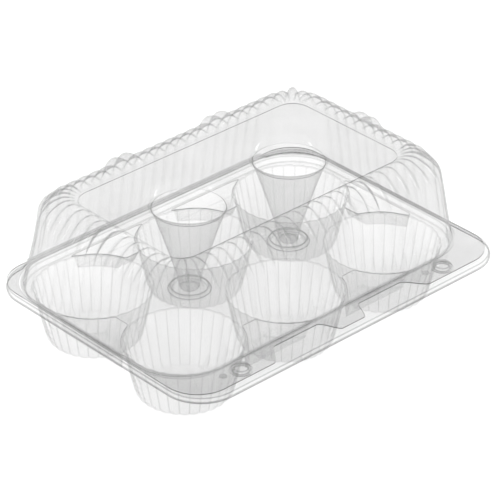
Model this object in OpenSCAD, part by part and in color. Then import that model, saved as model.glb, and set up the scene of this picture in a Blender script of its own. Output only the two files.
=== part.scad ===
/* [Cells] */
// Distance between neighbouring cup centres, both ways
pitch = 76; // [75:0.5:77]
// Radius of a cup at its rim
rim_r = 33.5; // [32:0.1:33.8]
// Radius of a cup just above its floor corner
base_r = 27; // [25:0.1:29]
// Height of the corner between a cup's wall and its floor
foot_h = 3; // [2:0.1:4]
// Depth of a cup below the flange plane
cup_depth = 35.5; // [30:0.5:45]

/* [Tray] */
// Thickness of the formed sheet
sheet = 0.5; // [0.4:0.05:0.8]
// Half length of the tray flange
flange_x = 118.5; // [118:0.5:122]
// Reach of the tray flange to the front, from the cup lattice's centre
flange_front = 96.5; // [96:0.5:100]
// Reach of the tray flange to the hinge, from the cup lattice's centre
flange_back = 78.6; // [78:0.1:80]
// Corner radius of the tray flange
flange_r = 24; // [20:0.5:26]
// Drop of the stiffening lip below the flange
lip_drop = 2.5; // [1.5:0.1:4]
// Drop of the deck between the cups below the flange
deck_drop = 3.3; // [2.5:0.1:5]
// Depth of the edge pockets below the deck
pocket_depth = 9.5; // [6:0.5:12]
// Outer radius of the ring that each funnel stands in
seat_r = 11.5; // [10:0.1:13]
// Height of that ring above the deck
seat_h = 2.2; // [1:0.1:2.6]

/* [Lid] */
// Half length of the lid wall at its foot
wall_x = 114.2; // [113.5:0.1:115]
// Half width of the lid wall at its foot
wall_y = 74.8; // [74.4:0.1:75.5]
// Corner radius of the lid wall at its foot
wall_r = 31; // [28:0.5:32]
// Height of the lid's panel above the flange plane
panel_h = 53.2; // [50:0.1:55]
// Reach of the lid flange to the front, from the cup lattice's centre
lid_front = 92; // [90:0.5:94]
// Half length of the lid flange
lid_x = 116.6; // [116:0.1:117]
// Reach of the lid flange to the front inside its two finger notches
notch_front = 79.8; // [79:0.1:84]
// Distance of each finger notch from the middle
notch_x = 32.5; // [31:0.5:34]
// Half length of a finger notch, at half its depth
notch_half = 20; // [18:0.5:22]
// Radius of a funnel's mouth in the lid panel
mouth_r = 24; // [22:0.1:25]
// Radius of a funnel's tip
tip_r = 5.5; // [5:0.1:7]
// Height of a stacking lug's crest above the flange plane
lug_h = 57.4; // [57:0.1:60]

/* [Fasteners] */
// Distance of each snap button from the middle
snap_x = 77; // [76:0.5:85]
// Distance of the snap buttons in front of the cup lattice's centre
snap_y = 84.6; // [84:0.1:86]
// Outer radius of the lid's snap cap
cap_r = 5.3; // [4.8:0.1:6]
// Height of the lid's snap cap above its flange
cap_h = 2.4; // [1.8:0.1:3]
// Radius of the hinge bead
bead_r = 0.9; // [0.85:0.05:1]
// Half length of the hinge
hinge_x = 90; // [80:1:92]

/* [Hidden] */
$fn = 96;

hull_fn = 32;
slab = 0.02;             // thickness of a slice that a hull runs between
running_gap = 0.2;       // between the closed lid's flange and the tray's
turning_gap = 0.3;       // between curved faces of the lid and the tray
floor_r = base_r - foot_h;
flange_z = cup_depth;
deck_z = flange_z - deck_drop;
lid_z = flange_z + running_gap;
hinge_z = flange_z + 0.4;
hinge_y = flange_back + 0.8;
lattice_y = (flange_front - hinge_y - bead_r) / 2;
step_inset = 1.2;        // the rim step stands this far inside the lid wall's foot
pocket_clear = 1.5;      // deck left between a cup's rim and a pocket
long_shelf = 10.5;       // the deck reaches this far past the cup centres on the long sides
short_shelf = 12;        // and this far past them at the two ends
pocket_half = 18;        // half length of a pocket
seat_foot = 2;           // width of the funnel seat's ring where it meets the deck
seat_bevel = 0.5;        // and how far its sides lean in
cap_wall = 0.6;
stud_r = cap_r - cap_wall - turning_gap;
stud_h = running_gap + sheet + cap_h - cap_wall - turning_gap;
flange_step = 3;         // the lid flange's corners are this much tighter than the tray's
pip_at = [-11.5, 1.6];   // of each locating pip, from its snap button
pip_r = 2.2;
pip_bevel = 0.5;
pip_h = 0.6;
funnel_flare = 3.5;      // width and height of the rounding at a funnel's mouth
long_rib = 8;            // spacing of the crown's fingers on the long sides
short_rib = 7.75;        // and on the short sides
lug_x = 36;              // middle of each pair of lugs on the long sides
lug_inset = 24;          // inner end of a lug, from the wall's foot
lug_len = 7.5;
tray_tone = "lightsteelblue";
lid_tone = "aliceblue";

// Lid cross-section, as [inset from the wall's foot, height above the flange plane]
wall_top = [6.2, 40];
crown_line = [wall_top, [9.7, 46.8], [13.5, 51.4], [18.4, 54.7], [22, 56], [25, 56.3]];
well_line = [[25.6, 56.6], [29.3, panel_h]];
corner_fade = 0.67;      // how fast the corner radius shrinks with the inset

// Outlines

module rounded(half_x, low_y, high_y, r) {
    translate([-half_x, low_y + r]) square([2 * half_x, high_y - low_y - 2 * r]);
    translate([r - half_x, low_y]) square([2 * (half_x - r), high_y - low_y]);
    for (x = [r - half_x, half_x - r], y = [low_y + r, high_y - r])
        translate([x, y]) circle(r);
}

module ring_outline(inset) {
    rounded(wall_x - inset, inset - wall_y, wall_y - inset, max(wall_r - corner_fade * inset, 4));
}

module slice(inset, height) {
    translate([0, 0, flange_z + height]) linear_extrude(slab) ring_outline(inset);
}

module place() {
    translate([0, lattice_y, 0]) children();
}

// Tray

module cup(column, row) {
    color(tray_tone, 0.5)
    place()
    translate([column * pitch, row * pitch / 2, 0])
    rotate_extrude()
    polygon([
        [0, 0], [floor_r, 0], [base_r, foot_h], [rim_r, deck_z - sheet], [rim_r, deck_z],
        [rim_r - sheet, deck_z], [base_r - sheet, foot_h + sheet / 2],
        [floor_r - sheet / 2, sheet], [0, sheet],
    ]);
}

module cup_circles(extra) {
    for (column = [-1:1], row = [-1, 1])
        translate([column * pitch, row * pitch / 2]) circle(rim_r + extra);
}

// Outline of the pocket on a long side; side is 1 at the back and -1 at the front
module long_pocket_outline(x, side, inset) {
    low = pitch / 2 + long_shelf + inset;
    high = wall_y - step_inset - sheet - pocket_clear - inset;
    difference() {
        translate([x - pocket_half + inset, side > 0 ? low : -high])
            square([2 * (pocket_half - inset), high - low]);
        cup_circles(pocket_clear + inset);
    }
}

// Outline of the pocket at an end; side is 1 on the right and -1 on the left
module end_pocket_outline(side, inset) {
    low = pitch + short_shelf + inset;
    high = wall_x - step_inset - sheet - pocket_clear - inset;
    difference() {
        translate([side > 0 ? low : -high, inset - pocket_half])
            square([high - low, 2 * (pocket_half - inset)]);
        cup_circles(pocket_clear + inset);
    }
}

module tray_deck() {
    color(tray_tone, 0.5)
    place()
    translate([0, 0, deck_z - sheet])
    linear_extrude(sheet)
    difference() {
        ring_outline(step_inset + sheet);
        cup_circles(0);
        for (side = [-1, 1]) {
            for (x = [-pitch / 2, pitch / 2])
                long_pocket_outline(x, side, 0);
            end_pocket_outline(side, 0);
        }
    }
}

module rim_step() {
    color(tray_tone, 0.5)
    place()
    translate([0, 0, deck_z - sheet])
    linear_extrude(deck_drop + sheet)
    difference() {
        ring_outline(step_inset);
        ring_outline(step_inset + sheet);
    }
}

module tray_outline(inset) {
    rounded(flange_x - inset, inset - flange_front, flange_back - inset, flange_r - inset);
}

module tray_flange() {
    color(tray_tone, 0.5)
    place()
    translate([0, 0, flange_z - sheet])
    linear_extrude(sheet)
    difference() {
        tray_outline(0);
        ring_outline(step_inset);
        for (x = [-snap_x, snap_x])
            translate([x, -snap_y]) circle(stud_r);
    }
}

module tray_lip() {
    color(tray_tone, 0.5)
    place()
    translate([0, 0, flange_z - sheet - lip_drop])
    linear_extrude(lip_drop)
    difference() {
        tray_outline(0);
        tray_outline(sheet);
        translate([-hinge_x, flange_back / 2]) square([2 * hinge_x, flange_back]);
    }
}

module long_pocket(x, side) {
    color(tray_tone, 0.5)
    place()
    difference() {
        translate([0, 0, deck_z - pocket_depth])
            linear_extrude(pocket_depth) long_pocket_outline(x, side, 0);
        translate([0, 0, deck_z - pocket_depth + sheet])
            linear_extrude(pocket_depth) long_pocket_outline(x, side, sheet);
    }
}

module end_pocket(side) {
    color(tray_tone, 0.5)
    place()
    difference() {
        translate([0, 0, deck_z - pocket_depth])
            linear_extrude(pocket_depth) end_pocket_outline(side, 0);
        translate([0, 0, deck_z - pocket_depth + sheet])
            linear_extrude(pocket_depth) end_pocket_outline(side, sheet);
    }
}

module funnel_seat(side) {
    color(tray_tone, 0.5)
    place()
    translate([side * pitch / 2, 0, deck_z])
    rotate_extrude()
    polygon([
        [seat_r - seat_foot, 0], [seat_r, 0],
        [seat_r - seat_bevel, seat_h], [seat_r - seat_foot + seat_bevel, seat_h],
    ]);
}

module snap_stud(side) {
    color(tray_tone, 0.5)
    place()
    translate([side * snap_x, -snap_y, flange_z - sheet])
    difference() {
        cylinder(h = sheet + stud_h, r = stud_r);
        translate([0, 0, -sheet]) cylinder(h = sheet + stud_h, r = stud_r - cap_wall);
    }
}

module hinge_bead() {
    color(tray_tone, 0.5)
    place()
    difference() {
        translate([-hinge_x, hinge_y, hinge_z]) rotate([0, 90, 0])
            cylinder(h = 2 * hinge_x, r = bead_r);
        translate([-hinge_x - 1, flange_back - 1, hinge_z - 2]) cube([2 * hinge_x + 2, 1, 4]);
    }
}

// Lid

// One finger notch in the front edge, with its ends rounded both ways
module notch_outline() {
    depth = lid_front - notch_front;
    r = depth / 2;
    difference() {
        translate([-notch_half - r, -lid_front - 1]) square([2 * (notch_half + r), depth + 1]);
        for (side = [-1, 1]) {
            translate([side * (notch_half + r), -lid_front + r]) circle(r);
            translate([side * (notch_half + r) - r, -lid_front + r]) square([2 * r, r]);
        }
    }
    for (side = [-1, 1])
        translate([side * (notch_half - r), -notch_front - r]) intersection() {
            circle(r);
            translate([side > 0 ? 0 : -r, 0]) square(r);
        }
}

module lid_flange() {
    back = hinge_y - bead_r - turning_gap;
    color(lid_tone, 0.5)
    place()
    translate([0, 0, lid_z])
    linear_extrude(sheet)
    difference() {
        rounded(lid_x, -lid_front, back, flange_r - flange_step);
        ring_outline(sheet);
        for (side = [-1, 1]) {
            translate([side * notch_x, 0]) notch_outline();
            translate([side * snap_x, -snap_y]) circle(cap_r);
        }
    }
}

module lid_wall() {
    foot = running_gap + sheet;
    top_inset = wall_top[0];
    color(lid_tone, 0.5)
    place()
    difference() {
        hull($fn = hull_fn) {
            slice(0, foot);
            slice(top_inset, wall_top[1] - slab);
        }
        hull($fn = hull_fn) {
            slice(sheet, foot - slab);
            slice(top_inset + sheet, wall_top[1]);
        }
    }
}

// The rounded shoulder as a closed block, with its skin set in by the given amount
module crown_block(inset) {
    hull($fn = hull_fn)
    for (point = crown_line)
        slice(point[0] + inset, point[1] - (point == wall_top ? 0 : inset) - slab);
}

module well_block(outset) {
    hull($fn = hull_fn)
    for (point = well_line)
        slice(point[0] - outset, point[1] - outset);
}

module lid_crown() {
    color(lid_tone, 0.5)
    place()
    difference() {
        crown_block(0);
        difference() {
            union() {
                crown_block(sheet);
                translate([0, 0, -1]) crown_block(sheet);
            }
            well_block(sheet);
        }
        well_block(0);
        translate([0, 0, flange_z + panel_h - 2 * sheet]) linear_extrude(3 * sheet)
            ring_outline(well_line[1][0]);
    }
}

module lid_panel() {
    color(lid_tone, 0.5)
    place()
    translate([0, 0, flange_z + panel_h - sheet])
    linear_extrude(sheet)
    difference() {
        ring_outline(well_line[1][0]);
        for (side = [-1, 1])
            translate([side * pitch / 2, 0]) circle(mouth_r);
    }
}

// A funnel hangs from the panel and its closed tip stands just over the deck, inside its seat
module funnel(side) {
    top_z = flange_z + panel_h;
    tip_z = deck_z + turning_gap;
    neck_r = mouth_r - funnel_flare;
    color(lid_tone, 0.5)
    place()
    translate([side * pitch / 2, 0, 0])
    rotate_extrude()
    polygon([
        [0, tip_z], [tip_r, tip_z], [neck_r, top_z - funnel_flare], [mouth_r, top_z - sheet],
        [mouth_r, top_z], [mouth_r - sheet, top_z], [neck_r - sheet, top_z - funnel_flare],
        [tip_r - sheet, tip_z + sheet], [0, tip_z + sheet],
    ]);
}

module snap_cap(side) {
    color(lid_tone, 0.5)
    place()
    translate([side * snap_x, -snap_y, lid_z])
    difference() {
        cylinder(h = sheet + cap_h, r = cap_r);
        translate([0, 0, -cap_wall]) cylinder(h = sheet + cap_h, r = cap_r - cap_wall);
    }
}

// A round pip beside each snap cap, both on the left of it
module locating_pips() {
    color(lid_tone, 0.5)
    place()
    for (side = [-1, 1])
        translate([side * snap_x + pip_at[0], pip_at[1] - snap_y, lid_z + sheet])
            cylinder(h = pip_h, r1 = pip_r, r2 = pip_r - pip_bevel);
}

// A pair of raised fingers that run outwards over the crown, towards +Y
module lug_pair(rib) {
    finger_r = rib / 2 - 0.1;
    for (x = [-rib / 2, rib / 2])
        translate([x, 0, flange_z + lug_h - finger_r]) {
            sphere(finger_r);
            rotate([-90, 0, 0]) cylinder(h = lug_len, r = finger_r);
            translate([0, lug_len, 0]) sphere(finger_r);
        }
}

// Pairs of lugs at the given places along the side of the lid that faces the angle
module lugs(angle, half_width, places, rib) {
    color(lid_tone, 0.5)
    place()
    difference() {
        rotate([0, 0, angle])
            for (x = places)
                translate([x, half_width - lug_inset, 0]) lug_pair(rib);
        crown_block(0);
    }
}

cup(-1, 1);  // cup_back_left
cup(0, 1);  // cup_back_middle
cup(1, 1);  // cup_back_right
cup(-1, -1);  // cup_front_left
cup(0, -1);  // cup_front_middle
cup(1, -1);  // cup_front_right
tray_deck();
rim_step();
tray_flange();
tray_lip();
long_pocket(-pitch / 2, -1);  // pocket_front_left
long_pocket(pitch / 2, -1);  // pocket_front_right
long_pocket(-pitch / 2, 1);  // pocket_back_left
long_pocket(pitch / 2, 1);  // pocket_back_right
end_pocket(-1);  // pocket_left
end_pocket(1);  // pocket_right
funnel_seat(-1);  // funnel_seat_left
funnel_seat(1);  // funnel_seat_right
snap_stud(-1);  // snap_stud_left
snap_stud(1);  // snap_stud_right
hinge_bead();
lid_flange();
lid_wall();
lid_crown();
lid_panel();
funnel(-1);  // funnel_left
funnel(1);  // funnel_right
snap_cap(-1);  // snap_cap_left
snap_cap(1);  // snap_cap_right
locating_pips();
lugs(180, wall_y, [-lug_x, lug_x], long_rib);  // lugs_front
lugs(0, wall_y, [-lug_x, lug_x], long_rib);  // lugs_back
lugs(90, wall_x, [0], short_rib);  // lugs_left
lugs(-90, wall_x, [0], short_rib);  // lugs_right
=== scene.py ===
import math

import bmesh
import bpy
import numpy as np
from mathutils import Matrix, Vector
from mathutils.geometry import delaunay_2d_cdt


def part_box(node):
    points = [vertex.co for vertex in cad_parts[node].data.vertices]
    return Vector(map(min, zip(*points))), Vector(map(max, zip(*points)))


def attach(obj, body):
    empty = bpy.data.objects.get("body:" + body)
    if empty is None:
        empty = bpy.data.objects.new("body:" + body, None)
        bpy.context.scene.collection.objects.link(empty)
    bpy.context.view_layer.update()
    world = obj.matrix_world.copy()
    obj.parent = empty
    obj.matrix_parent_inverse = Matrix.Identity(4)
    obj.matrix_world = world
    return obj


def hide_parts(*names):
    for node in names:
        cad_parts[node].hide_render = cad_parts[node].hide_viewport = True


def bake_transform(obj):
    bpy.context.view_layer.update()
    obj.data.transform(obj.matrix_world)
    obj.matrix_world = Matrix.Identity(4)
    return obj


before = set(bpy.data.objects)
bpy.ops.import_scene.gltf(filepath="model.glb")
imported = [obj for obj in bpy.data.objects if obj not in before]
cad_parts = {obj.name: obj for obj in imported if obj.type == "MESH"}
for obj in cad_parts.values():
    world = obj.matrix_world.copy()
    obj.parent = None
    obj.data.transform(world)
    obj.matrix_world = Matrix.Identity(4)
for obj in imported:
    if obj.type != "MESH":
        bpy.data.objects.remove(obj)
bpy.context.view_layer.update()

# The container is one formed plastic sheet. Every size below is in millimetres, in the frame
# of the cup lattice: x and y from its centre, z from the flange plane. place() turns it into
# the row frame, in metres.

MM = 0.001


def node_box(name):
    """The lowest and highest corners of a CAD node, in millimetres in the row frame."""
    low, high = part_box(name)
    return np.array(low) / MM, np.array(high) / MM


CUPS = [n for n in sorted(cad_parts) if n.startswith("cup_")]
CUP_AT = {n: (node_box(n)[0] + node_box(n)[1]) / 2 for n in CUPS}
ORIGIN = sum(CUP_AT.values()) / len(CUPS)
ORIGIN[2] = node_box("tray_flange")[1][2]


def local_box(name):
    """The lowest and highest corners of a CAD node, in millimetres in the lattice's frame."""
    low, high = node_box(name)
    return low - ORIGIN, high - ORIGIN


def centre_of(name):
    low, high = local_box(name)
    return (low + high) / 2


SHEET = 0.4                # thickness of the formed sheet

# Main sizes, from the frame
DECK = local_box("tray_deck")[1][2]
FLOOR = local_box("cup_front_left")[0][2]
CUP_R = (local_box("cup_front_left")[1][0] - local_box("cup_front_left")[0][0]) / 2
FLANGE_LOW, FLANGE_HIGH = local_box("tray_flange")
WALL_X, WALL_Y = local_box("lid_wall")[1][:2]
LID_LOW, LID_HIGH = local_box("lid_flange")
LID_TOP = LID_HIGH[2]
PANEL = local_box("lid_panel")[1][2]
LUG_TOP = local_box("lugs_front")[1][2]
HINGE_HIGH = local_box("hinge_bead")[1]

# Formed detail of the lid
WALL_R = 31                # corner radius at the lid wall's foot
CORNER_FADE = 0.67         # how fast it shrinks with the inset
LONG_RIB = 8.0             # rib spacing on the long sides
SHORT_RIB = 7.75           # and on the short sides
LONG_RIBS = 9.5            # ribs on half a long side, before the corner's fan
SHORT_RIBS = 5             # ribs on half a short side
FAN_RIBS = 5               # ribs that fan round a corner
RIB_STEPS = 10             # columns of the mesh to a rib
WALL_RELIEF = 0.9          # depth of the grooves between the ribs
CROWN_RELIEF = 2.1         # depth of the grooves between the crown's fingers
LONG_LUGS = (4, 5)         # the pair of ribs on half a long side that stand up as lugs
CORNER_LUG = 0.6           # how far a corner's middle rib stands up, of a lug's height
LUG_BRIDGE = 0.4           # and how far the sheet does between the pair
FOOT_INSET = -1.2          # of the lid wall's fillet, where it leaves the flange
PANEL_INSET = 29.3         # of the panel's edge from the wall's foot
MOUTH_R = 26.5             # where a funnel's mouth starts to turn down
MOUTH_FILLET = 6.3
MOUTH_TURN = 161           # the angle in degrees at which its fillet meets the cone
LID_CORNER = 21            # corner radius of the lid's flange
NOTCH_DEPTH = 12.2         # of the cut-outs in its front edge
TAB_HALF, TAB_SLOPE = 12.2, 8       # the tab between the two cut-outs
NOTCH_END, END_SLOPE = 53.5, 13     # and their outer ends
CAP_FOOT_R = 6.4           # of a snap cap, where it leaves the flange
CAP_JOIN_R = 7             # the flanges' edges nearer a cap than this go on as cap or stud

# Formed detail of the tray
CUP_FLUTES = 30
CUP_RELIEF = 1.0
RIM_WAVE = 0.8             # depth of the waves in a cup's rim
POCKET_HALF = 27           # half of a pocket's mouth, along the rim
POCKET_CLEAR = 1.1         # from a cup's rim to a pocket
POCKET_SLOPE = 5.5         # how many times further a pocket's inner wall leans than the others
CORNER_CRISPNESS = 24.0    # of a pocket's outline
BRIDGE_ENDS = (88, 48.5)   # where the deck's bridges between the cups fall into the pockets
SEAT_R = 12.6              # of a funnel's seat, where it leaves the deck
STUD_R = 5.4               # of a snap stud, where it leaves the flange
RIM_INSET = 0.8            # of the flange's inner edge, from the lid wall's foot
TRAY_CORNER = 24           # corner radius of the tray's flange

# Looks
SMALL_FACE = 9             # faces with longer sides than this carry no painted fold shade
SHARP_ANGLE = 38           # edges that bend more than this are shaded as sharp
RIPPLE = 0.2               # strength of the sheet's draw ripples
GLOSS = 0.05               # roughness of its surface
MIRROR = (0.045, 0.45)     # share of light mirrored square on, and added towards edge on
# The share of light that one face of each plastic lets through square on and edge on, and
# what that is multiplied by along a tight fold. All are the same clear sheet: their dimming,
# and how it differs from region to region, is painted shade.
PLASTICS = {
    # painted shade: a dark line along the flanges' cut edges
    "cut_edge_shade": (0.08, 0.08, 0.9),
    "formed_edge": (0.93, 0.75, 0.95),
    # painted shade: a dark line along the funnels' and pockets' rims and the panel's edge
    "fold_shade_line": (0.3, 0.3, 0.9),
    # painted shade: a dark line along the lid flange's edge at the wall's foot, hinge and caps
    "foot_shade_line": (0.58, 0.58, 0.9),
    "lid": (0.944, 0.76, 0.94),
    "funnel": (0.973, 0.86, 0.75),
    "tray": (0.971, 0.64, 0.8),
    "deck": (0.993, 0.9, 0.9),
    "pocket": (0.996, 0.94, 0.95),
    "seat": (0.992, 0.75, 0.78),
    "cup": (0.994, 0.95, 0.93),
}

# The studio, in metres and watts: each light's name, place, target, size and power
LIGHTS = [
    ("overhead_fill", (0.1, 0.3, 1.3), (0, 0, 0), (1.0, 0.8), 10.3),
    ("side", (-1.3, 0.5, 0.8), (0, 0, 0.04), (0.25, 0.9), 1.6),
    ("strip", (1.2, -0.48, 0.7), (0, 0, 0.05), (0.2, 0.9), 1.6),
]
AMBIENT = 0.75             # strength of the white surroundings

# The camera: its place and the point it looks at, in metres, its focal length and its shift
EYE = (-0.9815, -1.0559, 0.9195)
TARGET = (0.00458, 0.01268, 0.0355)
LENS = 216
SHIFT = (0.02, 0.0056)


# Geometry

def place(points):
    """Points in the lattice's frame, in millimetres, as row frame points in metres."""
    return (np.asarray(points, float) + ORIGIN) * MM


def smooth_line(points, steps):
    """A curve through the points, with that many steps to each span, or a list of them."""
    p = np.asarray(points, float)
    p = np.vstack([2 * p[0] - p[1], p, 2 * p[-1] - p[-2]])
    out = []
    for i in range(1, len(p) - 2):
        count = steps if isinstance(steps, int) else steps[i - 1]
        for k in range(count):
            t = k / count
            out.append(
                0.5 * (2 * p[i] + (p[i + 1] - p[i - 1]) * t
                       + (2 * p[i - 1] - 5 * p[i] + 4 * p[i + 1] - p[i + 2]) * t ** 2
                       + (3 * p[i] - p[i - 1] - 3 * p[i + 1] + p[i + 2]) * t ** 3))
    out.append(p[-2])
    return np.array(out)


def arc(x, z, radius, start, end, steps):
    """Points of an arc in a profile, from one angle in degrees to the other."""
    turn = np.radians(np.linspace(start, end, steps + 1))
    return np.c_[x + radius * np.cos(turn), z + radius * np.sin(turn)]


def loft(rings, closed=True, tip=False):
    """Quads between rings of equal length. tip closes the last ring with a fan."""
    rings = np.asarray(rings, float)
    rows, count = rings.shape[:2]
    points = rings.reshape(-1, 3)
    faces = []
    last = count if closed else count - 1
    for r in range(rows - 1):
        for c in range(last):
            d = (c + 1) % count
            faces.append((r * count + c, r * count + d, (r + 1) * count + d, (r + 1) * count + c))
    if tip:
        points = np.vstack([points, rings[-1].mean(0)])
        base = (rows - 1) * count
        for c in range(count):
            faces.append((base + c, base + (c + 1) % count, len(points) - 1))
    return points, faces


def inside(points, outline):
    """Which points lie inside a closed outline."""
    a, b = outline, np.roll(outline, -1, 0)
    x, y = points[:, :1], points[:, 1:2]
    crosses = (a[:, 1] > y) != (b[:, 1] > y)
    rise = np.where(b[:, 1] == a[:, 1], 1e-12, b[:, 1] - a[:, 1])
    left_of = x < (b[:, 0] - a[:, 0]) * (y - a[:, 1]) / rise + a[:, 0]
    return (crosses & left_of).sum(1) % 2 == 1


def flat(outline, holes, height):
    """A flat sheet at that height with holes in it."""
    loops = [np.asarray(o, float)[:, :2] for o in [outline, *holes]]
    points, edges = np.vstack(loops), []
    start = 0
    for loop in loops:
        n = len(loop)
        edges += [(start + i, start + (i + 1) % n) for i in range(n)]
        start += n
    found = delaunay_2d_cdt([Vector(p) for p in points], edges, [], 1, 1e-6)
    flat_points = np.array([tuple(p) for p in found[0]])
    faces = np.array([f for f in found[2] if len(f) == 3])
    middle = flat_points[faces].mean(1)
    keep = inside(middle, loops[0])
    for loop in loops[1:]:
        keep &= ~inside(middle, loop)
    return np.c_[flat_points, np.full(len(flat_points), height)], [tuple(f) for f in faces[keep]]


def joined(*parts):
    """Several (points, faces) as one."""
    points, faces, start = [], [], 0
    for p, f in parts:
        points.append(p)
        faces += [tuple(start + i for i in face) for face in f]
        start += len(p)
    return np.vstack(points), faces


def mark_folds(b):
    """Stores, at each corner of each small face, how tightly the sheet bends there, per mm,
    for the painted shade along tight folds.
    """
    bend = np.zeros(len(b.verts))
    b.verts.index_update()
    for edge in b.edges:
        if len(edge.link_faces) == 2:
            one, two = edge.link_faces
            across = (one.calc_area() + two.calc_area()) / 2 / max(edge.calc_length(), 1e-7)
            tight = edge.calc_face_angle(0) / max(across, 1e-6) * MM
            for v in edge.verts:
                bend[v.index] = max(bend[v.index], tight)
    layer = b.loops.layers.float.new("fold")
    for face in b.faces:
        curved = abs(face.normal.z) < 0.997
        small = max(e.calc_length() for e in face.edges) < SMALL_FACE * MM
        for loop in face.loops:
            loop[layer] = bend[loop.vert.index] if small and curved else 0


def piece(name, shape, body, replaced, materials, thickness=SHEET, joins=()):
    """A closed sheet of that thickness below the given surface, riding on a body. Its
    materials are the sheet's own and its edge's. Where its edge lies inside one of the joins,
    it goes on as another piece, and has the last material. It casts no shadow, as in the
    photo."""
    points, faces = shape
    mesh = bpy.data.meshes.new(name)
    mesh.from_pydata([tuple(p) for p in place(points)], [], faces)
    b = bmesh.new()
    b.from_mesh(mesh)
    bmesh.ops.remove_doubles(b, verts=b.verts, dist=0.002 * MM)
    bmesh.ops.dissolve_degenerate(b, edges=b.edges, dist=0.0005 * MM)
    bmesh.ops.recalc_face_normals(b, faces=b.faces)
    lift = sum(f.normal.z * f.calc_area() for f in b.faces)
    if lift < 0:
        bmesh.ops.reverse_faces(b, faces=b.faces)
    mark_folds(b)
    b.to_mesh(mesh)
    b.free()
    for material in materials:
        mesh.materials.append(material)
    made = bpy.data.objects.new(name, mesh)
    bpy.context.scene.collection.objects.link(made)
    shell = made.modifiers.new("sheet", "SOLIDIFY")
    shell.thickness = thickness * MM
    shell.offset = -1
    shell.use_quality_normals = True
    shell.material_offset_rim = 1
    bpy.context.view_layer.update()
    finished = bpy.data.meshes.new_from_object(
        made.evaluated_get(bpy.context.evaluated_depsgraph_get()))
    made.modifiers.clear()
    made.data = finished
    finished.name = name
    for face in finished.polygons if joins else ():
        at = np.array(face.center)[None, :2] / MM - ORIGIN[:2]
        if face.material_index == 1 and any(inside(at, outline)[0] for outline in joins):
            face.material_index = 2
    finished.polygons.foreach_set("use_smooth", [True] * len(finished.polygons))
    finished.set_sharp_from_angle(angle=math.radians(SHARP_ANGLE))
    if body:
        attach(made, body)
    if replaced:
        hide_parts(*replaced)
    made.visible_shadow = False
    return made


# Outlines

def ring(low_x, high_x, low_y, high_y, radius, along=60, across=40, corner=16):
    """A rounded rectangle, anticlockwise from the right-hand side's low end."""
    sides = [
        ((high_x, low_y + radius), (high_x, high_y - radius), (high_x - radius, high_y - radius)),
        ((high_x - radius, high_y), (low_x + radius, high_y), (low_x + radius, high_y - radius)),
        ((low_x, high_y - radius), (low_x, low_y + radius), (low_x + radius, low_y + radius)),
        ((low_x + radius, low_y), (high_x - radius, low_y), (high_x - radius, low_y + radius)),
    ]
    out = []
    for i, (a, b, c) in enumerate(sides):
        steps = across if i % 2 == 0 else along
        for k in range(steps):
            out.append(np.array(a) + (np.array(b) - np.array(a)) * k / steps)
        for k in range(corner):
            turn = math.radians(90 * i + 90 * k / corner)
            out.append(np.array(c) + radius * np.array([math.cos(turn), math.sin(turn)]))
    return np.array(out)


def wall_ring(inset, **steps):
    """The lid wall's outline, that far inside its foot."""
    radius = max(WALL_R - CORNER_FADE * inset, 4)
    return ring(inset - WALL_X, WALL_X - inset, inset - WALL_Y, WALL_Y - inset, radius, **steps)


def at_height(outline, height):
    return np.c_[outline, np.full(len(outline), height)]


def circle(x, y, radius, steps=96):
    turn = np.linspace(0, 2 * math.pi, steps, endpoint=False)
    return np.c_[x + radius * np.cos(turn), y + radius * np.sin(turn)]


def turned(profile, x, y, steps=96):
    """Rings of a profile of (radius, height) turned about a vertical axis."""
    return [at_height(circle(x, y, r, steps), z) for r, z in profile]


# The lid's ribbed wall and crown

def ring_stations():
    """Stations round the lid, as (sign of x, sign of y, ribs from the middle of a long side)."""
    quarter = LONG_RIBS + FAN_RIBS + SHORT_RIBS
    steps = int(round(quarter * RIB_STEPS))
    s = np.arange(steps) / RIB_STEPS
    back = s[::-1] + 1 / RIB_STEPS
    quarters = [(1, 1, s), (1, -1, back), (-1, -1, s), (-1, 1, back)]
    return np.concatenate([np.c_[np.full(steps, a), np.full(steps, b), c] for a, b, c in quarters])


def station_points(stations, inset):
    """Each station's place on the outline at that inset, and its outward direction. The back
    corners are rounder part of the way up, where the lid springs from its hinge."""
    s = stations[:, 2]
    half_x, half_y = WALL_X - inset, WALL_Y - inset
    rounder = np.interp(inset, [0, 1.6, 4.7, 6.4, 9, 13.5], [2, 3.5, 6.5, 6.5, 4, 0])
    radius = max(WALL_R - CORNER_FADE * inset, 4) + rounder * (stations[:, 1] > 0)
    mid_x, mid_y = half_x - radius, half_y - radius
    fan_x, fan_y = LONG_RIBS * LONG_RIB, SHORT_RIBS * SHORT_RIB
    quarter = radius * math.pi / 2

    def along_from_x(x):
        over = np.clip((x - mid_x) / radius, 0, 1)
        return np.where(x <= mid_x, x - mid_x, radius * np.arcsin(over))

    def along_from_y(y):
        over = np.clip((y - mid_y) / radius, 0, 1)
        return np.where(y <= mid_y, quarter + mid_y - y, quarter - radius * np.arcsin(over))

    start, end = along_from_x(fan_x), along_from_y(fan_y)
    fan = start + (end - start) * (s - LONG_RIBS) / FAN_RIBS
    short_y = fan_y - SHORT_RIB * (s - LONG_RIBS - FAN_RIBS)
    a = np.where(s <= LONG_RIBS, along_from_x(s * LONG_RIB),
                 np.where(s >= LONG_RIBS + FAN_RIBS, along_from_y(short_y), fan))
    turn = np.clip(a / radius, 0, math.pi / 2)
    x = mid_x + np.minimum(a, 0) + radius * np.sin(turn)
    y = mid_y - np.maximum(a - quarter, 0) + radius * np.cos(turn)
    out = np.c_[np.sin(turn), np.cos(turn)]
    signs = stations[:, :2]
    return np.c_[x, y] * signs, out * signs


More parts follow.
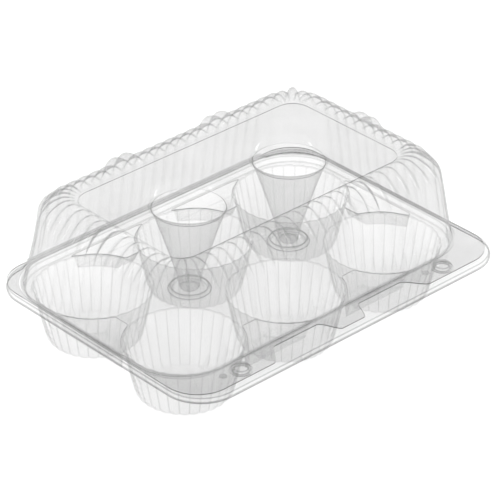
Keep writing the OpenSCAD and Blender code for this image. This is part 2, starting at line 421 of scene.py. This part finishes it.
def lug_share(stations):
    """How far each station belongs to a raised stacking lug, from 0 to 1."""
    s = stations[:, 2]
    end = LONG_RIBS + FAN_RIBS + SHORT_RIBS
    phase = s - np.round(s)
    share = np.clip(1 - (2 * phase) ** 2, 0, 1) ** 0.6
    rib = np.round(s)
    low, high = LONG_LUGS
    is_lug = (rib == low) | (rib == high) | (rib == np.floor(end))
    corner = rib == LONG_RIBS + FAN_RIBS / 2
    between = ((rib == low) & (phase > 0)) | ((rib == high) & (phase < 0))
    share = np.where(between, np.maximum(share, LUG_BRIDGE), share)
    return np.where(is_lug, share, np.where(corner, share * CORNER_LUG, 0))


def lid_shell():
    # The profile, as (inset from the wall's foot, height); a lug's differs in the crown. Its
    # smooth line passes a little over its points, so its top point is a little lower.
    foot = [(FOOT_INSET, LID_TOP), (-0.6, LID_TOP + 0.05), (-0.1, LID_TOP + 0.4),
            (0.15, LID_TOP + 1.2)]
    wall = [(0.9, 6), (3.2, 20), (5.1, 33), (6.2, 40)]
    crown = [(7.4, 44), (9.7, 47.6), (13.3, 52), (18, 55.2), (21.6, 56.3), (24.6, 56)]
    well = [(26.4, 55.2), (27.9, 54.3), (28.9, 53.6), (PANEL_INSET, PANEL)]
    raised = [(6.8, 45.5), (8.2, 50), (12, 54.6), (16.4, 56.9), (20.4, LUG_TOP - 0.06),
              (24.8, 56.2)]
    steps = [2, 2, 2, 3, 2, 2, 2, 3, 4, 4, 4, 4, 4, 3, 2, 2, 2]
    line = smooth_line(foot + wall + crown + well, steps)
    lugs = smooth_line(foot + wall + raised + well, steps)
    span = np.concatenate([np.arange(n) / n + i for i, n in enumerate(steps)] + [[len(steps)]])

    slope = np.gradient(line, axis=0)
    slope /= np.linalg.norm(slope, axis=1)[:, None]
    inward = np.c_[slope[:, 1], -slope[:, 0]]

    # How deep the grooves are along the profile, how full the ribs between them, how far
    # they are plain waves, and how far the fingers have ended in their round noses.
    start, crown_from = len(foot) - 1, len(foot) + len(wall) - 1
    crown_to = crown_from + len(crown)
    relief = np.interp(
        span,
        [start, start + 0.6, crown_from, crown_from + 2, crown_from + 3, crown_to, crown_to + 2.4],
        [0, WALL_RELIEF, WALL_RELIEF, 1.5, CROWN_RELIEF, CROWN_RELIEF, 0])
    bulge = np.interp(span, [crown_from - 1, crown_from + 2], [1, 0.72])
    soft = np.interp(span, [crown_from, crown_from + 1, crown_from + 3], [0.4, 0.55, 0])
    nose = np.clip((span - (crown_to - 0.3)) / 2.4, 0, 1)

    stations = ring_stations()
    phase = stations[:, 2] - np.round(stations[:, 2])
    raise_by = lug_share(stations)
    in_fan = np.abs(stations[:, 2] - LONG_RIBS - FAN_RIBS / 2) < FAN_RIBS / 2
    rings = []
    for i in range(len(line)):
        arch = np.clip(1 - (2 * phase) ** 2 - nose[i] ** 2, 0, 1)
        corner = max(WALL_R - CORNER_FADE * line[i, 0], 4)
        narrow = np.where(in_fan, min(corner * math.pi / 2 / FAN_RIBS / LONG_RIB * 1.2, 1), 1)
        wave = (1 - np.cos(2 * math.pi * phase)) / 2
        groove = (1 - arch ** bulge[i]) * (1 - soft[i]) + wave * soft[i]
        drop = relief[i] * narrow * groove
        inset = line[i, 0] + (lugs[i, 0] - line[i, 0]) * raise_by + inward[i, 0] * drop
        height = line[i, 1] + (lugs[i, 1] - line[i, 1]) * raise_by + inward[i, 1] * drop
        middle = line[i, 0]
        at, out = station_points(stations, middle)
        xy = at - out * (inset - middle)[:, None]
        rings.append(np.c_[xy, height])
    return loft(rings)


# The lid's other regions

def lid_flange_outline():
    """Its front edge has two cut-outs with a tab between them."""
    outline = ring(LID_LOW[0], LID_HIGH[0], LID_LOW[1], LID_HIGH[1], LID_CORNER, along=380)
    x, y = outline.T
    front = y < LID_LOW[1] + 0.01

    def rise(value, middle, width):
        t = np.clip((value - middle) / width + 0.5, 0, 1)
        return t * t * (3 - 2 * t)

    depth = rise(np.abs(x), TAB_HALF, TAB_SLOPE) * (1 - rise(np.abs(x), NOTCH_END, END_SLOPE))
    y = np.where(front, y + NOTCH_DEPTH * depth, y)
    return np.c_[x, y]


def lid_flange(caps):
    hole = wall_ring(FOOT_INSET)
    rounds = [circle(*c[:2], CAP_FOOT_R, 48) for c in caps]
    return flat(lid_flange_outline(), [hole, *rounds], LID_TOP)


def mouth_profile(top):
    """The rounded mouth of a funnel, from the panel down to its cone."""
    return arc(MOUTH_R, top - MOUTH_FILLET, MOUTH_FILLET, 90, MOUTH_TURN, 12)


def lid_panel(funnels):
    mouths = [turned(mouth_profile(PANEL), *f[:2]) for f in funnels]
    panel = flat(wall_ring(PANEL_INSET), [m[0] for m in mouths], PANEL)
    return joined(panel, *[loft(m) for m in mouths])


def funnel(at):
    neck = mouth_profile(PANEL)[-1]
    tip = local_box("funnel_left")[0][2] + SHEET
    line = smooth_line([neck, (16.9, 38.5), (12.6, 25), (8.5, 12), (6.6, 4.5), (5.6, tip + 1.4)], 8)
    end = smooth_line([(5.6, tip + 1.4), (5.2, tip + 0.5), (4.2, tip), (2, tip)], 4)
    return loft(turned(np.vstack([line, end[1:]]), *at[:2]), tip=True)


def snap_cap(at):
    top = local_box("snap_cap_left")[1][2]
    line = [(CAP_FOOT_R, LID_TOP), (5.75, LID_TOP + 0.1), (5.4, LID_TOP + 0.5),
            (5.3, LID_TOP + 1.3), (5.2, top - 0.55), (4.75, top - 0.1), (4.0, top),
            (3.2, top - 0.12), (1.5, top - 0.2)]
    return loft(turned(smooth_line(line, 4), *at[:2], 64), tip=True)


def pip(at):
    line = [(2.3, LID_TOP), (2.1, LID_TOP + 0.4), (1.7, LID_TOP + 0.55), (1.2, LID_TOP + 0.35),
            (0.6, LID_TOP + 0.25)]
    return loft(turned(smooth_line(line, 4), *at[:2], 40), tip=True)


# The tray's regions

def fluted(x, y, radius, relief, flutes=CUP_FLUTES, steps=10):
    turn = np.linspace(0, 2 * math.pi, flutes * steps, endpoint=False)
    phase = turn * flutes / (2 * math.pi)
    phase -= np.round(phase)
    r = radius - relief * (2 * phase) ** 2
    return np.c_[x + r * np.cos(turn), y + r * np.sin(turn)]


def cup(at):
    floor = FLOOR + SHEET + 0.02     # a hair above the CAD floor, to stay inside its box
    rim = [(CUP_R + 0.7, DECK), (CUP_R + 0.25, DECK - 0.08), (CUP_R - 0.05, DECK - 0.5)]
    wall = [(CUP_R - 0.3, DECK - 1.6), (31.6, -13), (29.5, -23.5), (27.9, -30.2)]
    corner = [(27.2, floor + 2.2), (26.3, floor + 0.8), (24.9, floor + 0.1), (23.4, floor)]
    base = [(20, floor), (10, floor)]
    line = smooth_line(rim + wall + corner + base, 4)
    span = np.arange(len(line)) / 4
    first = len(rim)
    relief = np.interp(
        span, [0, first, first + 1, len(rim + wall) + 1, len(rim + wall) + 3, len(rim + wall) + 4],
        [RIM_WAVE, RIM_WAVE, CUP_RELIEF, CUP_RELIEF * 1.2, CUP_RELIEF * 0.9, 0])
    rings = [at_height(fluted(*at[:2], r, d), z) for (r, z), d in zip(line, relief)]
    return loft(rings, tip=True)


def pocket_outline(at, side, shrink):
    """A pocket's outline seen from its middle: side points from the lattice to the edge."""
    across = np.array([-side[1], side[0]])
    low, high = local_box("pocket_front_right" if side[1] else "pocket_right")
    axis = 1 if side[1] else 0
    inner = BRIDGE_ENDS[axis]
    outer = max(abs(low[axis]), abs(high[axis]))
    middle = np.array(at[:2])
    depth = abs(middle @ side)
    turn = np.linspace(0, 2 * math.pi, 120, endpoint=False)
    reach = []
    for t in turn:
        way = math.cos(t) * side + math.sin(t) * across
        out = way @ side
        limits = [(outer - shrink - depth) / out if out > 1e-6 else 1e6,
                  (depth - inner - POCKET_SLOPE * shrink) / -out if out < -1e-6 else 1e6,
                  (POCKET_HALF - shrink) / max(abs(way @ across), 1e-6)]
        for centre in CUP_AT.values():
            gap = centre[:2] - ORIGIN[:2] - middle
            along = way @ gap
            miss = gap @ gap - along ** 2
            r = CUP_R + POCKET_CLEAR + shrink
            if along > 0 and miss < r * r:
                limits.append(along - math.sqrt(r * r - miss))
        reach.append(sum(v ** -CORNER_CRISPNESS for v in limits) ** (-1 / CORNER_CRISPNESS))
    reach = np.array(reach)[:, None]
    return middle + reach * (np.cos(turn)[:, None] * side + np.sin(turn)[:, None] * across)


def pocket(at, side):
    depth = DECK - local_box("pocket_right")[0][2] - SHEET
    line = [(0, 0), (0.12, 0.25), (0.4, 2.5), (1.0, depth - 1), (1.25, depth - 0.25), (1.6, depth)]
    rings = [at_height(pocket_outline(at, side, s), DECK - z) for s, z in smooth_line(line, 3)]
    return loft(rings, tip=True)


def funnel_seat(at):
    top = local_box("funnel_seat_left")[1][2]
    line = [(SEAT_R, DECK), (12.1, DECK + 0.15), (11.6, DECK + 0.9), (11.3, top - 0.3),
            (10.8, top), (10.3, top - 0.3), (10, DECK + 0.9), (9.6, DECK + 0.1), (9, DECK),
            (5, DECK)]
    return loft(turned(smooth_line(line, 4), *at[:2]), tip=True)


def tray_deck(pockets, seats):
    holes = [fluted(*(CUP_AT[n] - ORIGIN)[:2], CUP_R + 0.7, RIM_WAVE) for n in CUPS]
    holes += [pocket_outline(at, side, 0) for at, side in pockets.values()]
    holes += [circle(*at[:2], SEAT_R) for at in seats]
    return flat(wall_ring(2.3, along=60), holes, DECK)


def rim_step():
    """The step up from the deck to the flange."""
    line = [(2.3, DECK), (2.0, DECK + 0.08), (1.8, DECK + 0.5), (1.45, -0.6), (1.2, -0.15),
            (RIM_INSET, 0)]
    return loft([at_height(wall_ring(i), z) for i, z in smooth_line(line, 3)])


def tray_rim(studs):
    """The flange and the lip round its edge."""
    drop = local_box("tray_lip")[1][2] - local_box("tray_lip")[0][2] + 0.5
    lip = smooth_line([(1.4, 0), (0.95, -0.1), (0.65, -0.5), (0.55, -1.4), (0.45, -drop + 0.35),
                       (0, -drop + 0.15)], 3)
    half, radius = FLANGE_HIGH[0], TRAY_CORNER
    outer = []
    for inset, z in lip:
        o = ring(inset - half, half - inset, FLANGE_LOW[1] + inset, FLANGE_HIGH[1] - inset,
                 radius - inset)
        edge = ring(-half, half, FLANGE_LOW[1], FLANGE_HIGH[1], radius)
        along = HINGE_HIGH[0] + 4
        hinge = (edge[:, 1] > FLANGE_HIGH[1] - 0.01) & (np.abs(edge[:, 0]) < along)
        fade = np.clip((along - np.abs(edge[:, 0])) / 4, 0, 1) * hinge
        outer.append(np.c_[o + (edge - o) * fade[:, None] * (1 - inset / 1.4), z * (1 - fade)])
    rounds = [circle(*s[:2], STUD_R, 48) for s in studs]
    sheet = flat(outer[0], [wall_ring(RIM_INSET), *rounds], 0)
    return joined(sheet, loft(outer))


def snap_stud(at):
    top = local_box("snap_stud_left")[1][2]
    line = [(STUD_R, 0), (4.75, 0.12), (4.4, 0.5), (4.3, 1.2), (4.2, top - 0.5), (3.8, top - 0.1),
            (3.1, top), (1.5, top - 0.05)]
    return loft(turned(smooth_line(line, 4), *at[:2], 64), tip=True)


def hinge_strip():
    """The bead along the fold, from the tray's flange round the axis to the lid's."""
    half = HINGE_HIGH[0]
    back, edge = HINGE_HIGH[1], FLANGE_HIGH[1]
    line = smooth_line([(edge - 0.05, -0.02), (edge + 0.5, -0.28), (back - 0.25, -0.1),
                        (back - 0.02, 0.45), (back - 0.3, 1.0), (edge + 0.3, 1.12),
                        (LID_HIGH[1], LID_TOP)], 4)
    across = np.linspace(-half, half, 91)
    rows = [np.c_[across, np.full(len(across), y), np.full(len(across), z)] for y, z in line]
    return loft(rows, closed=False)


# Materials

def ramp(tree, stops, value):
    node = tree.nodes.new("ShaderNodeValToRGB")
    node.color_ramp.interpolation = "EASE"
    while len(node.color_ramp.elements) < len(stops):
        node.color_ramp.elements.new(0.5)
    for element, (at, tone) in zip(node.color_ramp.elements, stops):
        element.position = at
        element.color = (*tone, 1)
    tree.links.new(value, node.inputs["Fac"])
    return node.outputs["Color"]


def math_node(tree, kind, a, b):
    node = tree.nodes.new("ShaderNodeMath")
    node.operation = kind
    for socket, value in zip(node.inputs, (a, b)):
        if isinstance(value, (int, float)):
            socket.default_value = value
        else:
            tree.links.new(value, socket)
    return node.outputs[0]


def grey(value):
    return (value, value, value)


def times(tree, a, b):
    node = tree.nodes.new("ShaderNodeMix")
    node.data_type = "RGBA"
    node.blend_type = "MULTIPLY"
    node.inputs["Factor"].default_value = 1
    tree.links.new(a, node.inputs["A"])
    tree.links.new(b, node.inputs["B"])
    return node.outputs["Result"]


def noise(tree, scale, stretch, detail=2.0):
    """Smooth noise in the object's own coordinates, in metres."""
    coordinates = tree.nodes.new("ShaderNodeTexCoord")
    mapping = tree.nodes.new("ShaderNodeMapping")
    mapping.inputs["Scale"].default_value = stretch
    texture = tree.nodes.new("ShaderNodeTexNoise")
    texture.inputs["Scale"].default_value = scale
    texture.inputs["Detail"].default_value = detail
    tree.links.new(coordinates.outputs["Object"], mapping.inputs["Vector"])
    tree.links.new(mapping.outputs["Vector"], texture.inputs["Vector"])
    return texture.outputs["Fac"]


def clear_plastic(name, see, grazing, crease_shade):
    """Thin clear sheet. It dims what lies behind it, most where it is seen edge on and along its
    tight folds: that dimming is painted shade, on top of the light it really loses to its mirror.
    It mirrors the studio. Its uneven thickness and its draw ripples are two noises."""
    material = bpy.data.materials.new(name)
    material.use_nodes = True
    tree = material.node_tree
    tree.nodes.clear()
    bump = tree.nodes.new("ShaderNodeBump")
    bump.inputs["Strength"].default_value = RIPPLE
    bump.inputs["Distance"].default_value = 0.0004
    tree.links.new(noise(tree, 90, (1, 1, 0.25)), bump.inputs["Height"])
    facing = tree.nodes.new("ShaderNodeLayerWeight")
    facing.inputs["Blend"].default_value = 0.5
    tree.links.new(bump.outputs["Normal"], facing.inputs["Normal"])
    # Painted shade: what shows through darkens from see square on to grazing edge on
    middle = (see + grazing) / 2
    seen = ramp(tree, [(0, grey(see)), (0.62, grey(see - 0.01)), (0.9, grey(middle)),
                       (1, grey(grazing))], facing.outputs["Facing"])
    # Painted shade along tight folds, from the bend stored on the mesh
    fold = tree.nodes.new("ShaderNodeAttribute")
    fold.attribute_name = "fold"
    crease_shading = ramp(tree, [(0.1, grey(1)), (0.75, grey(crease_shade))],
                  math_node(tree, "MULTIPLY", fold.outputs["Fac"], 0.6))
    uneven = ramp(tree, [(0.3, grey(0.985)), (0.7, grey(1))], noise(tree, 35, (1, 1, 1)))
    tint = times(tree, times(tree, seen, crease_shading), uneven)
    clear = tree.nodes.new("ShaderNodeBsdfTransparent")
    tree.links.new(tint, clear.inputs["Color"])
    mirror = tree.nodes.new("ShaderNodeBsdfAnisotropic")
    mirror.inputs["Roughness"].default_value = GLOSS
    tree.links.new(bump.outputs["Normal"], mirror.inputs["Normal"])
    steep = math_node(tree, "POWER", facing.outputs["Facing"], 4.0)
    square_on, edge_on = MIRROR
    share = math_node(tree, "ADD", math_node(tree, "MULTIPLY", steep, edge_on), square_on)
    mix = tree.nodes.new("ShaderNodeMixShader")
    tree.links.new(share, mix.inputs["Fac"])
    tree.links.new(clear.outputs[0], mix.inputs[1])
    tree.links.new(mirror.outputs[0], mix.inputs[2])
    out = tree.nodes.new("ShaderNodeOutputMaterial")
    tree.links.new(mix.outputs[0], out.inputs["Surface"])
    return material


def floor_material():
    material = bpy.data.materials.new("studio_floor")
    material.use_nodes = True
    shader = material.node_tree.nodes["Principled BSDF"]
    shader.inputs["Base Color"].default_value = (0.93, 0.93, 0.93, 1)
    shader.inputs["Roughness"].default_value = 0.9
    shader.inputs["Specular IOR Level"].default_value = 0.1
    return material


# Assembly

def build():
    plastic = {n: clear_plastic(n + "_plastic", *light) for n, light in PLASTICS.items()}
    # Painted shade: the cut-edge material darkens the flanges' cut edges, the fold-line one the
    # funnels' and pockets' rims and the panel's edge, and the foot-line one the lid flange's edge
    # at the wall's foot, the hinge and the caps. formed_edge is the clear edge of a join.
    cut_edge_shade, join, fold_shade_line = (plastic[n] for n in ("cut_edge_shade", "formed_edge", "fold_shade_line"))
    lid_plastic = (plastic["lid"], join)
    funnel_plastic = (plastic["funnel"], fold_shade_line)
    tray_plastic = (plastic["tray"], join)
    deck_plastic = (plastic["deck"], join)
    pocket_plastic = (plastic["pocket"], fold_shade_line)
    seat_plastic = (plastic["seat"], join)
    cup_plastic = (plastic["cup"], join)

    funnels = {n: centre_of(n) for n in ("funnel_left", "funnel_right")}
    caps = {n: centre_of(n) for n in ("snap_cap_left", "snap_cap_right")}
    studs = {n: centre_of(n) for n in ("snap_stud_left", "snap_stud_right")}
    seats = {n: centre_of(n) for n in ("funnel_seat_left", "funnel_seat_right")}
    pip_low, pip_high = local_box("locating_pips")
    pip_r = (pip_high[1] - pip_low[1]) / 2
    pips = [(x, (pip_low[1] + pip_high[1]) / 2) for x in (pip_low[0] + pip_r, pip_high[0] - pip_r)]
    pockets = {}
    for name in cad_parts:
        if name.startswith("pocket_"):
            at = centre_of(name)
            ends = name in ("pocket_left", "pocket_right")
            side = np.array([np.sign(at[0]), 0.0]) if ends else np.array([0.0, np.sign(at[1])])
            pockets[name] = (at - np.array([*side, 0]), side)

    # Where edges go on as other pieces: the panel's left edge, whose fold shows light in the
    # photo, the flanges' back edges at the hinge, and their edges at the caps and studs
    half, back = HINGE_HIGH[0], HINGE_HIGH[1]
    end = PANEL_INSET - WALL_X
    # The panel's other edges carry the painted dark fold line; this one is kept clear of it, as its
    # fold catches the light.
    lit_panel_edge = np.array([(end - 2, -WALL_Y), (end + 2, -WALL_Y), (end + 2, WALL_Y),
                          (end - 2, WALL_Y)])
    fold = np.array([(-half, back - 3), (half, back - 3), (half, back + 1), (-half, back + 1)])
    cap_feet = [circle(*c[:2], CAP_JOIN_R, 24) for c in caps.values()]

    piece("lid_shell_formed", lid_shell(), "lid",
          ["lid_wall", "lid_crown", "lugs_front", "lugs_back", "lugs_left", "lugs_right"],
          lid_plastic)
    piece("lid_flange_scalloped", lid_flange(caps.values()), "lid", ["lid_flange"],
          (plastic["lid"], cut_edge_shade, plastic["foot_shade_line"]), thickness=0.5,
          joins=[wall_ring(-3), fold, *cap_feet])
    piece("lid_panel_formed", lid_panel(list(funnels.values())), "lid", ["lid_panel"],
          (plastic["lid"], fold_shade_line, join),
          joins=[circle(*f[:2], MOUTH_R, 24) for f in funnels.values()] + [lit_panel_edge])
    for name, at in funnels.items():
        piece(name + "_formed", funnel(at), "lid", [name], funnel_plastic)
    for name, at in caps.items():
        piece(name + "_formed", snap_cap(at), "lid", [name], lid_plastic)
    piece("locating_pips_formed", joined(*[pip(p) for p in pips]), "lid", ["locating_pips"],
          lid_plastic, thickness=0.2)

    piece("rim_step_formed", rim_step(), "tray", ["rim_step"], deck_plastic)
    piece("tray_rim_formed", tray_rim(list(studs.values())), "tray",
          ["tray_flange", "tray_lip"], (plastic["tray"], cut_edge_shade, join),
          joins=[wall_ring(0), fold, *cap_feet])
    piece("tray_deck_formed", tray_deck(pockets, list(seats.values())), "tray", ["tray_deck"],
          deck_plastic)
    for name in CUPS:
        piece(name + "_fluted", cup(CUP_AT[name] - ORIGIN), "tray", [name],
              cup_plastic)
    for name, (at, side) in pockets.items():
        piece(name + "_formed", pocket(at, side), "tray", [name],
              pocket_plastic)
    for name, at in seats.items():
        piece(name + "_formed", funnel_seat(at), "tray", [name], seat_plastic)
    for name, at in studs.items():
        piece(name + "_formed", snap_stud(at), "tray", [name], tray_plastic)

    strip = piece("hinge_strip", hinge_strip(), None, ["hinge_bead"],
                  deck_plastic, thickness=0.3)
    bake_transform(strip)


# Studio

def area_light(name, at, aim, size, power):
    data = bpy.data.lights.new(name, "AREA")
    data.shape = "RECTANGLE"
    data.size, data.size_y = size
    data.energy = power
    light = bpy.data.objects.new(name, data)
    light.location = at
    light.rotation_euler = (Vector(aim) - Vector(at)).to_track_quat("-Z", "Y").to_euler()
    bpy.context.scene.collection.objects.link(light)
    return light


def studio():
    mesh = bpy.data.meshes.new("studio_floor")
    mesh.from_pydata([(-4, -4, 0), (4, -4, 0), (4, 4, 0), (-4, 4, 0)], [], [(0, 1, 2, 3)])
    floor = bpy.data.objects.new("studio_floor", mesh)
    floor.location.z = -0.0002
    mesh.materials.append(floor_material())
    bpy.context.scene.collection.objects.link(floor)

    world = bpy.data.worlds.new("studio")
    bpy.context.scene.world = world
    world.use_nodes = True
    background = world.node_tree.nodes["Background"]
    background.inputs["Color"].default_value = (1, 1, 1, 1)
    background.inputs["Strength"].default_value = AMBIENT

    lights = {light[0]: area_light(*light) for light in LIGHTS}
    lights["overhead_fill"].visible_glossy = False


def camera():
    data = bpy.data.cameras.new("camera")
    data.lens = LENS
    data.sensor_width = 36
    data.shift_x, data.shift_y = SHIFT
    data.clip_end = 20
    eye = bpy.data.objects.new("camera", data)
    eye.location = EYE
    eye.rotation_euler = (Vector(TARGET) - Vector(EYE)).to_track_quat("-Z", "Y").to_euler()
    bpy.context.scene.collection.objects.link(eye)
    bpy.context.scene.camera = eye


camera()
build()
studio()
scene = bpy.context.scene
scene.view_settings.view_transform = "Standard"
scene.cycles.transparent_max_bounces = 96    # a ray passes many clear faces
scene.cycles.max_bounces = 16
